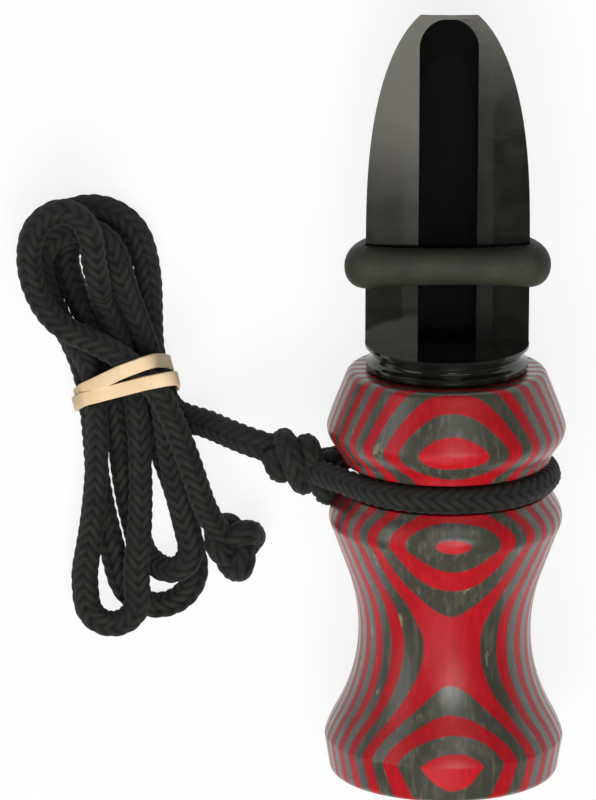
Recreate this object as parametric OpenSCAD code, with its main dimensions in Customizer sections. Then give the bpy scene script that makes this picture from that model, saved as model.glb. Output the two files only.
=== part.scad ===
/* [Barrel] */
// Length of the turned wooden barrel
barrel_len = 48.6; // [46:0.1:54]
// Largest radius of the barrel, at its two turned corners
bead_r = 13.95; // [13.6:0.05:16]
// Smallest radius of the barrel, at its waist
waist_r = 10.05; // [9.4:0.05:11]
// Radius of the foot, just above the rounded bottom edge
foot_r = 13.35; // [12:0.05:13.5]
// Radius of the shoulder round the collar
shoulder_r = 11.3; // [10.2:0.05:12]
// Rounding of the bottom and top edges
edge_round = 0.7; // [0.3:0.1:1.2]
// Height of the lower turned corner above the bottom face
lower_bead_at = 4.4; // [3:0.1:5.5]
// Height of the waist above the bottom face
waist_at = 17.4; // [16:0.1:19]
// Height of the lip below the lanyard groove
lip_at = 30.9; // [30:0.1:31.2]
// Radius of that lip
lip_r = 13.55; // [13.2:0.05:14.5]
// Height of the upper turned corner
upper_bead_at = 41.2; // [40.8:0.1:43]
// Height of the lanyard groove
groove_at = 36; // [35.2:0.1:36.2]
// Room between the cord and the sides of the groove
groove_room = 0.2; // [0.15:0.05:0.4]
// Radius of the barrel at the bottom of the groove
groove_floor_r = 10.3; // [9.8:0.1:11]
// Radius of the sound bore
bore_r = 4.75; // [3.5:0.05:5.5]
// Width of the chamfer at the mouth of the sound bore
mouth_chamfer = 1.2; // [0.5:0.1:2]

/* [Toneboard] */
// Radius of the rod that the toneboard is cut from
rod_r = 9.5; // [9:0.05:10]
// Length of the toneboard that stands out of the barrel
exposed_len = 41.7; // [40:0.1:44]
// Height of the collar on the barrel, up to the ledge
collar_h = 3; // [2.6:0.1:4]
// Depth of the cove turned round the collar
cove_depth = 0.65; // [0.3:0.05:0.9]
// Length of the rounded nose
nose_len = 27; // [24:0.1:28]
// Length that the blunt tip takes off the point of the nose
nose_blunt = 1.9; // [1.6:0.1:4]
// Fullness of the nose: 2 is an ellipse, more is blunter
nose_power = 2.6; // [2:0.1:3]
// Depth of the flat face below the rod's axis
face_drop = 0.8; // [0.4:0.05:1.4]
// Fall of the face in front of the reed band, in degrees
face_tilt = 1.2; // [1.15:0.05:1.6]
// Distance from the band to where the face starts to curve
curve_from = 6; // [3:0.5:10]
// Radius of the curve of the face
curve_r = 480; // [400:10:800]
// Width of the tone channel
slot_w = 6.8; // [5.5:0.1:7.4]
// Depth of the tone channel below the face
slot_depth = 5; // [4:0.1:5.6]
// Thickness of the wall left at the tip of the channel
slot_tip_wall = 0.55; // [0.4:0.05:1.2]
// Thickness of the wall left under the channel
slot_floor_wall = 1.3; // [1:0.1:2]
// Radius of the air passage from the channel to the shank
airway_r = 1.9; // [1.2:0.1:2.1]

/* [Shank] */
// Radius of the shank in the barrel
shank_r = 6.35; // [6:0.05:6.8]
// Length of the shank
shank_len = 16; // [15:0.1:17]
// Radius of the bore in the shank
shank_bore_r = 3.2; // [2.5:0.1:3.5]
// Radial clearance between the shank and its socket
shank_fit = 0.05; // [0.02:0.01:0.1]
// Room below the end of the shank
socket_room = 1; // [0.5:0.1:2]
// Clearance between the collar and the end of the barrel
seat_gap = 0.08; // [0.05:0.01:0.2]
// Thickness of a sealing ring
seal_d = 1.6; // [1.4:0.05:1.7]
// Distance of the upper sealing ring below the collar
seal_from = 4.5; // [3:0.1:5]
// Distance between the two sealing rings
seal_pitch = 6; // [4:0.1:7]
// Clearance round a sealing ring
seal_gap = 0.04; // [0.03:0.01:0.08]

/* [Reed] */
// Thickness of the reed
reed_t = 0.3; // [0.2:0.05:0.4]
// Width of the reed
reed_w = 10.4; // [9:0.1:11]
// Distance from the ledge to the end of the reed
reed_back_gap = 0.4; // [0.3:0.1:1]
// Distance from the reed's tip to the toneboard's tip
reed_tip_gap = 0.2; // [0.1:0.05:0.4]
// Clearance under and over the reed
reed_gap = 0.02; // [0.01:0.01:0.05]
// Distance from the ledge to the middle of the reed band
band_from_ledge = 9; // [8:0.1:10.5]
// Radius of the reed band's half-round section
band_r = 2.4; // [2:0.05:2.6]
// Clearance between the band and what it goes round
band_fit = 0.06; // [0.04:0.01:0.1]
// Room over the reed under the band, where the reed tips
band_over_reed = 0.22; // [0.2:0.01:0.3]

/* [Lanyard] */
// Diameter of the braided cord where it runs free
cord_d = 3.1; // [2.8:0.05:3.3]
// Width of the cord in the hank
fold_w = 2.8; // [2.5:0.05:2.85]
// Thickness of the cord in the hank
fold_t = 2.2; // [1.8:0.05:2.3]
// Width of the cord where the rubber band presses it
tied_w = 2.36; // [2:0.02:2.38]
// Clearance between the cord and the floor of the groove
groove_fit = 0.05; // [0.03:0.01:0.1]
// Spacing of the strands at the waist of the hank
tied_pitch = 2.8; // [2.8:0.02:2.9]
// Spacing of the strands at the ends of the hank
fold_pitch = 3.3; // [3.3:0.05:3.5]
// Spacing of the layers of the hank
layer_pitch = 2.75; // [2.75:0.05:2.9]
// Reach of the hank above its waist
upper_reach = 20.2; // [20:0.1:22]
// Reach of the hank below its waist
lower_reach = 30.2; // [29:0.1:33]
// Width of each turn of the rubber band
tie_w = 2; // [1.6:0.1:2.4]
// Thickness of the rubber band
tie_t = 0.9; // [0.6:0.05:1]
// Clearance between the rubber band and the cord
tie_gap = 0.4; // [0.3:0.05:0.5]

/* [Hidden] */
$fn = 64;

// Heights along the call, from the bottom face of the barrel
total_len = barrel_len + exposed_len;
collar_at = barrel_len + seat_gap;
ledge_at = collar_at + collar_h;
tip_at = total_len;
nose_at = tip_at - nose_len;
nose_reach = nose_len + nose_blunt;
band_at = ledge_at + band_from_ledge;
socket_r = shank_r + shank_fit;
socket_depth = shank_len + socket_room;
shank_end_at = collar_at - shank_len;
seal_outer_r = socket_r - seal_gap / 2;
seal_mid_r = seal_outer_r - seal_d / 2;
slot_end_r = slot_w / 2;
slot_end_at = tip_at - slot_tip_wall - slot_end_r;
airway_drop = face_drop + airway_r + reed_t;
band_front = -face_drop + reed_t + reed_gap + band_over_reed;
band_inner_r = rod_r + band_fit;
band_corner_round = 0.3;
cut_room = 1;
wide = 3 * rod_r;

// The call lies on its two turned corners, with the face of the toneboard up
module lay() {
    translate([0, -total_len / 2, bead_r]) rotate([-90, 0, 0]) children();
}

// Points of a curve from a to c that leaves and arrives along the lines to b
function curve(a, b, c, steps) =
    [for (i = [0 : steps]) let (t = i / steps) (1 - t) * (1 - t) * a + 2 * t * (1 - t) * b + t * t * c];

// Outline of the barrel as radius and height
flare_r = waist_r + 2.55;
flare_at = lower_bead_at + 3.2;
flare_turn_at = waist_at - 5.15;
neck_r = waist_r + 1.46;
neck_at = waist_at + 7.6;
neck_turn_at = waist_at + 3.8;
groove_cut_r = cord_d / 2 + groove_room;
groove_mid_r = groove_floor_r + groove_cut_r;
groove_lower_at = groove_at - groove_cut_r;
groove_upper_at = groove_at + groove_cut_r;
barrel_outline = concat(
    [[0, 0]],
    curve([foot_r - edge_round, 0], [foot_r, 0], [foot_r, edge_round], 6),
    curve([bead_r, lower_bead_at], [bead_r - 0.25, lower_bead_at + 1.2], [flare_r, flare_at], 8),
    curve([flare_r, flare_at], [waist_r, flare_turn_at], [waist_r, waist_at], 16),
    curve([waist_r, waist_at], [waist_r, neck_turn_at], [neck_r, neck_at], 12),
    curve([lip_r - 0.4, lip_at - 1.35], [lip_r + 0.7, lip_at + 0.4],
        [groove_mid_r + 0.3, groove_lower_at - 0.6], 10),
    [[groove_mid_r, groove_lower_at], [groove_mid_r, groove_upper_at]],
    [[groove_mid_r + 0.3, groove_upper_at + 1]],
    curve([bead_r - 0.6, upper_bead_at - 1.1], [bead_r + 0.45, upper_bead_at - 0.1],
        [bead_r - 0.35, upper_bead_at + 0.8], 8),
    curve([shoulder_r + edge_round * 0.5, barrel_len - edge_round], [shoulder_r, barrel_len],
        [shoulder_r - edge_round, barrel_len], 6),
    [[0, barrel_len]]);

module barrel() {
    color("firebrick") lay() difference() {
        rotate_extrude() polygon(barrel_outline);
        rotate_extrude() translate([groove_mid_r, groove_at]) circle(r = groove_cut_r);
        translate([0, 0, -cut_room]) cylinder(r = bore_r, h = barrel_len);
        translate([0, 0, barrel_len - socket_depth]) cylinder(r = socket_r, h = socket_depth + cut_room);
        translate([0, 0, -0.01]) cylinder(r1 = bore_r + mouth_chamfer, r2 = bore_r, h = mouth_chamfer);
    }
}

// Outline of a rounded nose of radius r that starts at nose_at and would close after reach
function nose(r, reach, length, steps) =
    [for (i = [0 : steps]) let (d = length * sin(90 * i / steps))
        [r * sqrt(1 - pow(d / reach, nose_power)), nose_at + d]];

collar_r = rod_r - 0.1;
cove_at = collar_at + collar_h * 0.55;
rod_outline = concat(
    [[0, shank_end_at], [shank_r, shank_end_at], [shank_r, collar_at], [collar_r - 0.25, collar_at]],
    [[collar_r, collar_at + 0.25], [collar_r, collar_at + collar_h * 0.3]],
    curve([collar_r - 0.15, collar_at + collar_h * 0.33], [collar_r - cove_depth * 2, cove_at],
        [rod_r, ledge_at - collar_h * 0.12], 8),
    nose(rod_r, nose_reach, nose_len, 20),
    [[0, tip_at]]);
slot_outline = concat(
    [[0, ledge_at - cut_room], [rod_r - slot_floor_wall, ledge_at - cut_room]],
    nose(rod_r - slot_floor_wall, nose_reach - slot_floor_wall, nose_len - slot_tip_wall, 20),
    [[0, tip_at - slot_tip_wall]]);

// Block above a level, from one height to another; the face side is -Y
module above(level, from, to) {
    translate([-wide / 2, -level - wide, from]) cube([wide, wide, to - from]);
}

// What is milled off the rod: a flat under the band, a fall in front of it, and a long curve to the tip
module face_cut() {
    above(-face_drop, ledge_at, tip_at + cut_room);
    translate([0, face_drop, band_at]) rotate([-face_tilt, 0, 0]) {
        translate([-wide / 2, -wide, 0]) cube([wide, wide, tip_at]);
        difference() {
            translate([-wide / 2, -wide, curve_from]) cube([wide, 2 * wide, tip_at]);
            translate([-wide, curve_r, curve_from]) rotate([0, 90, 0])
                cylinder(r = curve_r, h = 2 * wide, $fn = 720);
        }
    }
}

module tone_channel() {
    intersection() {
        rotate_extrude() polygon(slot_outline);
        union() {
            translate([-slot_w / 2, -wide, ledge_at])
                cube([slot_w, wide + face_drop + slot_depth, slot_end_at - ledge_at]);
            translate([0, face_drop + slot_depth, slot_end_at]) rotate([90, 0, 0])
                cylinder(r = slot_end_r, h = wide + face_drop + slot_depth);
        }
    }
}

module seal_groove(at) {
    translate([0, 0, at]) rotate_extrude()
        translate([seal_mid_r - seal_d / 2 - seal_gap, -seal_d / 2 - seal_gap])
            square([seal_d + 1, seal_d + 2 * seal_gap]);
}

seal_upper_at = collar_at - seal_from;
seal_lower_at = seal_upper_at - seal_pitch;

module toneboard() {
    color("#1c1d1c") lay() difference() {
        rotate_extrude() polygon(rod_outline);
        face_cut();
        tone_channel();
        translate([0, airway_drop, collar_at - cut_room]) cylinder(r = airway_r, h = collar_h + 2 * cut_room);
        translate([0, 0, shank_end_at - cut_room]) cylinder(r = shank_bore_r, h = shank_len + cut_room);
        seal_groove(seal_upper_at);
        seal_groove(seal_lower_at);
    }
}

// Clear strip with a round tip that lies straight over the channel
module reed() {
    tip_r = reed_w / 2;
    round_at = tip_at - reed_tip_gap - tip_r;
    back_at = ledge_at + reed_back_gap;
    color("lightcyan", 0.4) lay() translate([0, face_drop - reed_gap, 0]) rotate([90, 0, 0])
        linear_extrude(reed_t) union() {
            translate([-reed_w / 2, back_at]) square([reed_w, round_at - back_at]);
            translate([0, round_at]) circle(r = tip_r);
        }
}

// Rubber ring of half-round section: straight over the reed, round the belly of the rod.
// Each station of the ring is a place on its inner line and the direction that faces out there.
half_round = [for (i = [0 : 12]) let (a = -90 + 15 * i) band_r * [cos(a), sin(a)]];
corner_y = band_corner_round - band_front;
corner_x = sqrt(pow(band_inner_r - band_corner_round, 2) - corner_y * corner_y);
corner_dir = atan2(corner_y, corner_x);
function out(a) = [cos(a), sin(a)];
band_ring = concat(
    [for (i = [0 : 6]) let (a = -90 + (corner_dir + 90) * i / 6)
        [[corner_x, corner_y] + band_corner_round * out(a), a]],
    [for (i = [1 : 23]) let (a = corner_dir + (180 - 2 * corner_dir) * i / 24) [band_inner_r * out(a), a]],
    [for (i = [0 : 6]) let (a = 180 - corner_dir + (90 + corner_dir) * i / 6)
        [[-corner_x, corner_y] + band_corner_round * out(a), a]]);

module reed_band() {
    n = len(band_ring);
    m = len(half_round);
    color("dimgray") lay() translate([0, 0, band_at]) polyhedron(
        [for (q = band_ring, h = half_round) let (p = q[0] + h[0] * out(q[1])) [p[0], p[1], h[1]]],
        [for (i = [0 : n - 1], k = [0 : m - 1])
            let (j = (i + 1) % n, l = (k + 1) % m, a = i * m + k, b = i * m + l, c = j * m + k, d = j * m + l)
            each [[a, b, c], [b, d, c]]]);
}

module seal(at) {
    color("#202020") lay() translate([0, 0, at]) rotate_extrude()
        translate([seal_mid_r, 0]) circle(d = seal_d);
}

module shank_seal_upper() { seal(seal_upper_at); }
module shank_seal_lower() { seal(seal_lower_at); }

// Braided cord, drawn as a plain tube: the noose in the groove and its two ends to the slip knot
cord_color = "#262826";
loop_r = groove_floor_r + groove_fit + cord_d / 2;
lead_reach = 4.7;
knot_out = loop_r + lead_reach;
knot_below = 6;
lead_short = 2.8;
lead_angle = acos(loop_r / knot_out);
lead_len = sqrt(knot_out * knot_out - loop_r * loop_r) - lead_short;

module lanyard_loop() {
    color(cord_color) lay() translate([0, 0, groove_at]) rotate([0, 0, 180 - knot_below]) {
        rotate([0, 0, lead_angle]) rotate_extrude(angle = 360 - 2 * lead_angle)
            translate([loop_r, 0]) circle(d = cord_d);
        for (side = [-1, 1]) rotate([0, 0, side * lead_angle]) translate([loop_r, 0, 0])
            rotate([side * 90, 0, 0]) cylinder(d = cord_d, h = lead_len);
    }
}

// A tight knot: two turns of cord side by side round a middle
module knot(wrap_r, core_r) {
    wrap_at = wrap_r * 0.93;
    turn = [for (a = [-90 : 15 : 90]) wrap_r * [cos(a), sin(a)]];
    rotate_extrude() polygon(concat(
        [[0, -wrap_at - wrap_r]],
        [for (p = turn) if (p[1] < wrap_at) [core_r + p[0], p[1] - wrap_at]],
        [for (p = turn) if (p[1] > -wrap_at) [core_r + p[0], p[1] + wrap_at]],
        [[0, wrap_at + wrap_r]]));
}

slip_wrap_r = 1.75;
slip_core_r = 2.1;
slip_shift = [-0.7, 0.2, 0];
slip_turn = [0, 79, -23];
module slip_knot() {
    color(cord_color) translate([-knot_out * cos(knot_below), groove_at - total_len / 2,
        bead_r - knot_out * sin(knot_below)] + slip_shift) rotate(slip_turn) knot(slip_wrap_r, slip_core_r);
}

// A tube of sides points a ring, each ring given by its middle, half width and half thickness
function unit(v) = v / norm(v);
function heading(p, i) = unit(p[min(i + 1, len(p) - 1)] - p[max(i - 1, 0)]);
function ring(p, i, half, sides) =
    let (t = heading(p, i), side = unit(cross([0, 0, 1], t)), up = cross(t, side))
    [for (k = [0 : sides - 1]) let (a = 360 * k / sides)
        p[i] + half[0] * cos(a) * side + half[1] * sin(a) * up];
function tube_faces(rings, sides) = concat(
    [for (i = [0 : rings - 2], k = [0 : sides - 1]) let (a = i * sides + k, b = i * sides + (k + 1) % sides)
        each [[a, a + sides, b], [b, a + sides, b + sides]]],
    [for (k = [1 : sides - 2]) [0, k, k + 1]],
    [for (k = [1 : sides - 2]) let (o = (rings - 1) * sides) [o, o + k + 1, o + k]]);
module tube(points, halves, sides) {
    polyhedron([for (i = [0 : len(points) - 1]) each ring(points, i, halves[i], sides)],
        tube_faces(len(points), sides));
}

// The hank: one cord wound in two layers and drawn in at the waist. Each strand has its column at the
// ends and at the waist, counted in strands from the middle. Even folds are above the waist.
hank_at = [-38, -0.5];
strand_columns = [2, -2, 1, -1, 1, -2, 0];
tied_columns = [1.5, -1.5, 0.5, -0.5, 1.5, -0.5, 0.5];
base_strands = 4;
crossings = len(strand_columns);
tie_lift = 1.4;
waist_turn = 12;
fold_turns = [14, 9, 14, 9, 14, 1.5, 14];
fold_back = [0, 2.6, 0, 5.6, 0, 0, 0];
run_share = 0.25;
upper_spread = 13;
lower_spread = 18;
climb_from = 50;
floor_gap = 0.2;
fold_base = fold_t / 2 + floor_gap;
function ease(s) = s * s * (3 - 2 * s);
function layer(c) = c < base_strands ? 0 : 1;
function turn_of(u) = min(180, max(0, (u - run_share) / (1 - 2 * run_share) * 180));
function climb(c, u) =
    layer(c) == layer(c + 1) ? layer(c)
        : ease(min(1, max(0, (turn_of(u) - climb_from) / (180 - 2 * climb_from))));
function column(c) = fold_pitch * strand_columns[min(c, crossings - 1)];
function fold_mid(c) =
    c % 2 == 0 ? upper_reach - max(strand_columns) * fold_pitch : lower_reach - fold_pitch - fold_back[c];

// How far a place on half loop c is along its run, and how far its strands have spread, both from 0 to 1
function along_run(u) = min(1, min(u, 1 - u) / run_share);
function spread_of(c, u) =
    ease(min(1, fold_mid(c) * along_run(u) / (c % 2 == 0 ? upper_spread : lower_spread)));
function half_loop(c, u) =
    let (s = along_run(u), late = u < 0.5 ? 0 : 1, a = column(c), b = column(c + 1), turn = turn_of(u),
        tied = tied_pitch * tied_columns[min(c + late, crossings - 1)])
    s < 1 ? [tied + ((late == 0 ? a : b) - tied) * spread_of(c, u), fold_mid(c) * s]
        : [(a + b) / 2 + (a - b) / 2 * cos(turn), fold_mid(c) + abs(a - b) / 2 * sin(turn)];
function hank_point(w) =
    let (c = min(floor(w), crossings - 1), u = w - c, s = spread_of(c, u), p = half_loop(c, u),
        a = waist_turn + (fold_turns[c] - waist_turn) * s, x = p[0], y = c % 2 == 0 ? p[1] : -p[1])
    [hank_at[0] + x * cos(a) - y * sin(a), hank_at[1] + x * sin(a) + y * cos(a),
        fold_base + climb(c, u) * layer_pitch + tie_lift * (1 - s)];
function hank_half(w) =
    let (c = floor(w), s = spread_of(c, w - c)) [(tied_w + (fold_w - tied_w) * s * s) / 2, fold_t / 2];

hank_from = 0;
hank_to = crossings - 1 + run_share / 2;
hank_rings = round(12 * (hank_to - hank_from));
hank_steps = [for (i = [0 : hank_rings]) hank_from + (hank_to - hank_from) * i / hank_rings];
hank_inner = [for (w = hank_steps) hank_point(w)];
hank_first = hank_inner[0];
hank_last = hank_inner[len(hank_inner) - 1];
hank_start_way = [-sin(waist_turn), cos(waist_turn), 0];
hank_end_way = unit(hank_last - hank_point(hank_to - 0.01));
hank_points = concat([hank_first - cord_d * hank_start_way], hank_inner, [hank_last + cord_d * hank_end_way]);
hank_halves = concat([hank_half(hank_from)], [for (w = hank_steps) hank_half(w)], [hank_half(hank_to)]);

// Least gap of the hank to itself, between places that are more than half a fold apart along the cord
gap_steps = [for (w = [hank_from : 1 / 36 : hank_to]) [hank_point(w), hank_half(w), w]];
function reach_along(half, n) = norm([half[0] * norm([n[0], n[1]]), half[1] * n[2]]);
hank_gap = min([for (i = [0 : len(gap_steps) - 1], j = [i + 1 : len(gap_steps) - 1])
    let (a = gap_steps[i], b = gap_steps[j], d = norm(b[0] - a[0]))
    if (b[2] - a[2] > 0.5 && d < 4 * cord_d)
        d - reach_along(a[1], (b[0] - a[0]) / d) - reach_along(b[1], (b[0] - a[0]) / d)]);
echo(hank_gap_mm = hank_gap);

module lanyard_hank() {
    color(cord_color) tube(hank_points, hank_halves, 6);
}

// The free stretches, along points chosen by hand
run_points = [[-19.2, -7.4, 11.3], [-22.5, -6.8, 9.8], [-25.3, -6.4, 7.2], [-27.9, -6.1, 4.2],
    [-30.2, -5.9, 2.5], [-32.1, -5.1, 2.2]];
tail_points = [[-40.5, 11.4, 5.8], [-41, 14.2, 6.8], [-41.3, 17, 7.4], [-42.3, 19.3, 7.6],
    [-44.2, 20.4, 7.6], [-46.2, 19.8, 7.5], [-47.9, 18, 7.5], [-48.5, 15.3, 7.4], [-48.3, 12.6, 7.4],
    [-47.4, 10, 7.5], [-45.9, 7.7, 7.7], [-43.8, 6.1, 8], [-41, 4.9, 8.4], [-38.1, 3.4, 8.7],
    [-35.5, 1.2, 8.8], [-33.3, -1.4, 8.8], [-31.8, -4.6, 8.4], [-30.4, -8.3, 7.9], [-29.1, -12.4, 7.3],
    [-28, -16, 6.1], [-26.3, -19.5, 4.4]];
free_half = [cord_d / 2, cord_d / 2];

module lanyard_run() {
    color(cord_color) tube(concat(run_points, [hank_points[0]]),
        concat([for (p = run_points) free_half], [hank_halves[0]]), 8);
}

module lanyard_tail() {
    color(cord_color) tube(concat([hank_points[len(hank_points) - 1]], tail_points),
        concat([hank_half(hank_to)], [for (p = tail_points) free_half]), 8);
}

end_wrap_r = 1.6;
end_core_r = 1.9;
end_lift = end_core_r + end_wrap_r + floor_gap / 2;
end_at = [-24.6, -21.2, end_lift];
end_turn = [0, 90, -65];
module end_knot() {
    color(cord_color) translate(end_at) rotate(end_turn) knot(end_wrap_r, end_core_r);
}

// Doubled rubber band: two turns round the tied strands that meet at the left
tied_side = 1.5 * tied_pitch;
tied_base = fold_base + tie_lift;
tail_over = 8.8;
module tie_outline(grow, tail_span, slack) {
    hull() {
        for (x = [-tied_side, tied_side + slack[1]]) translate([x, tied_base])
            circle(r = tied_w / 2 + grow, $fn = 24);
        for (x = [-tied_pitch / 2 - slack[0], tied_side]) translate([x, tied_base + layer_pitch])
            circle(r = tied_w / 2 + grow, $fn = 24);
        for (x = tail_span) translate([x, tail_over]) circle(r = cord_d / 2 + grow, $fn = 24);
    }
}
module tie_turn(along, tilt, tail_span, slack, over) {
    translate([hank_at[0], hank_at[1], 0]) rotate([0, 0, tilt]) translate([0, along + tie_w / 2, 0])
        rotate([90, 0, 0]) linear_extrude(tie_w) difference() {
            tie_outline(tie_gap + over + tie_t, tail_span, slack);
            tie_outline(tie_gap + over, tail_span, slack);
        }
}
module hank_band() {
    color("navajowhite") {
        tie_turn(1.3, 17, [1.8, 3.4], [0, 0.5], 0);
        tie_turn(-1.3, 9, [3.5, 4.8], [0.4, 0], 0.06);
    }
}

barrel();
toneboard();
reed();
reed_band();
shank_seal_upper();
shank_seal_lower();
lanyard_loop();
slip_knot();
lanyard_run();
lanyard_hank();
lanyard_tail();
end_knot();
hank_band();
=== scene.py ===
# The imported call, loaded as the fixed frame. Everything below is built in its metres and on its
# axes: the call lies along Y with its toneboard facing up, and the lanyard lies at -X.
import math

import bpy
import numpy as np
from mathutils import Matrix, Vector


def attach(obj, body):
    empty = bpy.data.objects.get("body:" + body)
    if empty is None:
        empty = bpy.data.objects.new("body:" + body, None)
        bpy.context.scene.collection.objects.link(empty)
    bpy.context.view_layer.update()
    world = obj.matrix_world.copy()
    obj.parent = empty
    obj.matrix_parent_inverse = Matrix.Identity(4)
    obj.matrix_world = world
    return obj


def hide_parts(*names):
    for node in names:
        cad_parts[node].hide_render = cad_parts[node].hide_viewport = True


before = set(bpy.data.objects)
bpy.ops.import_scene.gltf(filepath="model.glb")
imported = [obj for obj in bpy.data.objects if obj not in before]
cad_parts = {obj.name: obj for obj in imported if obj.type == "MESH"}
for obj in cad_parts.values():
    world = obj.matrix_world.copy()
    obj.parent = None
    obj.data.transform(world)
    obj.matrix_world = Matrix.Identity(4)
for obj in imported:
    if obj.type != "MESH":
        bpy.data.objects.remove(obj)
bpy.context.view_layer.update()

# ---- Camera
# A long lens almost straight above the call, leaning a little towards the tip of the toneboard.
# Its place was fitted to the outline of the call; lengths are in millimetres times mm.
mm = 0.001
look = Vector((-17.198, -0.4847, 13.95)) * mm
lean = math.radians(15.3865)
roll = math.radians(0.2038)
away = 850 * mm
focal_pixels = 7340.9
picture_tall = 800
back = Vector((0, math.sin(lean), math.cos(lean)))
right = Vector((1, 0, 0))
up = back.cross(right)
across = right * math.cos(roll) + up * math.sin(roll)
upward = up * math.cos(roll) - right * math.sin(roll)
bpy.ops.object.select_all(action="DESELECT")
bpy.ops.object.camera_add()
camera = bpy.context.object
camera.name = "camera"
camera.data.sensor_fit = "VERTICAL"
camera.data.sensor_height = 24
camera.data.lens = camera.data.sensor_height * focal_pixels / picture_tall
camera.data.clip_start = 0.01
turned = Matrix((across, upward, back)).transposed().to_4x4()
camera.matrix_world = Matrix.Translation(look + back * away) @ turned
bpy.context.scene.camera = camera

# ---- Barrel
# Wood turned on a lathe from a block of glued red and charcoal plies, bored through for the sound,
# with a round groove for the noose and a deeper socket for the shank; sealed with gloss lacquer.
axis_height = 13.95
half_call = 45.15
axis_up = axis_height * mm
call_middle = half_call * mm
groove_r, groove_at, groove_round = 12.05, 36, 1.75


def srgb(r, g, b):
    """A colour read as 0 to 255, as the shader wants it."""
    parts = [v / 255 for v in (r, g, b)]
    return tuple(v / 12.92 if v <= 0.04045 else ((v + 0.055) / 1.055) ** 2.4 for v in parts) + (1,)


def sweep(a, b, c, steps):
    """Points of a turned curve from a to c that leaves and arrives along the lines to b."""
    ts = [i / steps for i in range(steps + 1)]
    return [tuple((1 - t) ** 2 * p + 2 * t * (1 - t) * q + t * t * r for p, q, r in zip(a, b, c))
            for t in ts]


def through(points, per=12):
    """A smooth line through given points."""
    p = np.asarray(points, float)
    p = np.concatenate((2 * p[:1] - p[1:2], p, 2 * p[-1:] - p[-2:-1]))
    line = []
    for a, b, c, d in zip(p, p[1:], p[2:], p[3:]):
        for t in np.linspace(0, 1, per, endpoint=False):
            line.append(0.5 * (2 * b + (c - a) * t + (2 * a - 5 * b + 4 * c - d) * t ** 2
                               + (3 * b - a - 3 * c + d) * t ** 3))
    return np.array(line + [p[-2]])


def turn_on_lathe(name, outline, steps, closed):
    """Extrudes an outline of radius and height point by point and spins it round the call's axis."""
    spots = [Vector((r * mm, h * mm - call_middle, axis_up)) for r, h in outline]
    bpy.ops.object.select_all(action="DESELECT")
    bpy.ops.mesh.primitive_plane_add(size=mm)
    piece = bpy.context.object
    piece.name = piece.data.name = name
    bpy.ops.object.mode_set(mode="EDIT")
    bpy.ops.mesh.select_all(action="SELECT")
    bpy.ops.mesh.merge(type="CENTER")
    bpy.ops.transform.translate(value=spots[0])
    for last, spot in zip(spots, spots[1:] + (spots[:1] if closed else [])):
        bpy.ops.mesh.extrude_region_move(TRANSFORM_OT_translate={"value": spot - last})
    bpy.ops.mesh.select_all(action="SELECT")
    bpy.ops.mesh.remove_doubles(threshold=1e-6)
    bpy.ops.mesh.spin(steps=steps, angle=math.tau, center=(0, 0, axis_up), axis=(0, 1, 0))
    bpy.ops.mesh.select_all(action="SELECT")
    bpy.ops.mesh.remove_doubles(threshold=2e-6)
    bpy.ops.mesh.normals_make_consistent(inside=False)
    bpy.ops.object.mode_set(mode="OBJECT")
    return piece


def apply_modifier(piece, kind, **settings):
    """Adds a modifier with its settings and applies it."""
    bpy.ops.object.select_all(action="DESELECT")
    piece.select_set(True)
    bpy.context.view_layer.objects.active = piece
    extra = piece.modifiers.new(kind.lower(), kind)
    for key, value in settings.items():
        setattr(extra, key, value)
    bpy.ops.object.modifier_apply(modifier=extra.name)


def soften(piece, width, angle, segments=2, smooth=30):
    """Rounds the sharp edges a little, then shades the rest smooth."""
    apply_modifier(piece, "BEVEL", width=width, segments=segments, limit_method="ANGLE",
                   angle_limit=math.radians(angle))
    piece.select_set(True)
    bpy.ops.object.shade_smooth_by_angle(angle=math.radians(smooth))


groove = [(groove_r - groove_round * math.sin(math.radians(a)),
           groove_at - groove_round * math.cos(math.radians(a))) for a in range(0, 181, 9)]
bead = [(12.05, 37.75), (12.4, 38.75), (13.08, 39.8), (13.62, 40.7), (13.84, 41.6), (13.68, 42.5),
        (12.95, 44.6), (11.65, 47.9)]
barrel_outline = (
    [(5.95, 0.0)]
    + sweep((12.5, 0.0), (13.3, 0.0), (13.4, 1.0), 6)
    + sweep((13.95, 4.4), (13.7, 5.6), (12.6, 7.6), 10)
    + sweep((12.6, 7.6), (10.05, 12.25), (10.05, 17.4), 24)[1:]
    + sweep((10.05, 17.4), (10.05, 21.2), (11.51, 25.0), 18)[1:]
    + sweep((13.15, 29.55), (14.25, 31.3), (12.35, 33.65), 14)
    + groove
    + [tuple(p) for p in through(bead, 6)[1:-1]]
    + sweep((11.65, 47.9), (11.3, 48.6), (10.6, 48.6), 6)
    + [(6.4, 48.6), (6.4, 31.6), (4.75, 31.6), (4.75, 1.2)]
)
barrel = turn_on_lathe("turned_barrel", barrel_outline, 192, True)
soften(barrel, 0.14 * mm, 14, 3, 40)


def new_material(name):
    """A material with its Principled shader, and short calls to add and join nodes."""
    material = bpy.data.materials.new(name)
    material.use_nodes = True
    tree = material.node_tree
    shader = tree.nodes["Principled BSDF"]

    def add(kind, **settings):
        made = tree.nodes.new(kind)
        for key, value in settings.items():
            if key.startswith("in_"):
                made.inputs[int(key[3:])].default_value = value
            else:
                setattr(made, key, value)
        return made

    def join(source, target):
        tree.links.new(source, target)

    return material, shader, add, join


def sum_up(add, join, operation, first, second, clamp=False):
    """One Math node on two values or sockets."""
    made = add("ShaderNodeMath", operation=operation, use_clamp=clamp)
    for place, value in enumerate((first, second)):
        if isinstance(value, (int, float)):
            made.inputs[place].default_value = value
        else:
            join(value, made.inputs[place])
    return made.outputs[0]


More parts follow.
